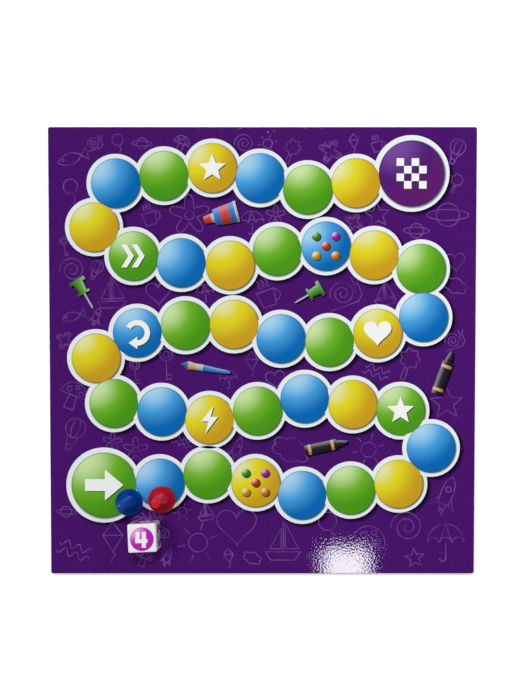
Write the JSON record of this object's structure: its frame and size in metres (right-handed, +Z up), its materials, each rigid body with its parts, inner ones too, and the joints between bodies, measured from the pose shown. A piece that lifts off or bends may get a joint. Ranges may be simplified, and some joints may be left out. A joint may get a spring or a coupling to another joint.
{
  "type": "board game",
  "caption": "Flat turned-edge game board with a printed disc track, hollow cone pawns with ball heads and a round-edged die with round number labels.",
  "frame": {"origin": "middle of the board's underside, on the surface that it lies on", "axes": "+X to the right and +Y to the far edge of the board as it is played, +Z up"},
  "size_m": [0.246, 0.257, 0.0276],
  "materials": {
    "greyboard": "matt",
    "printed_sheet": "gloss laminated",
    "liner_paper": "matt",
    "blue_plastic": "gloss",
    "red_plastic": "gloss",
    "white_plastic": "gloss",
    "label_film": "gloss"
  },
  "bodies": {
    "board": {"board_core": "greyboard", "print_wrap": "printed_sheet", "back_liner": "liner_paper"},
    "blue_pawn": {"blue_pawn": "blue_plastic"},
    "red_pawn": {"red_pawn": "red_plastic"},
    "die": {"die_body": "white_plastic", "die_label_1": "label_film", "die_label_2": "label_film", "die_label_3": "label_film", "die_label_4": "label_film", "die_label_5": "label_film", "die_label_6": "label_film"}
  },
  "joints": [
    {"name": "blue_pawn_lift", "type": "slide", "parent": "board", "child": "blue_pawn", "axis": [0, 0, 1], "range_m": [0, 0.06]},
    {"name": "red_pawn_lift", "type": "slide", "parent": "board", "child": "red_pawn", "axis": [0, 0, 1], "range_m": [0, 0.06]},
    {"name": "die_roll", "type": "hinge", "parent": "board", "child": "die", "pos_m": [-0.06021, -0.10529, 0.00362], "axis": [-0.0436, 0.999, 0], "range_deg": [0, 90]}
  ]
}
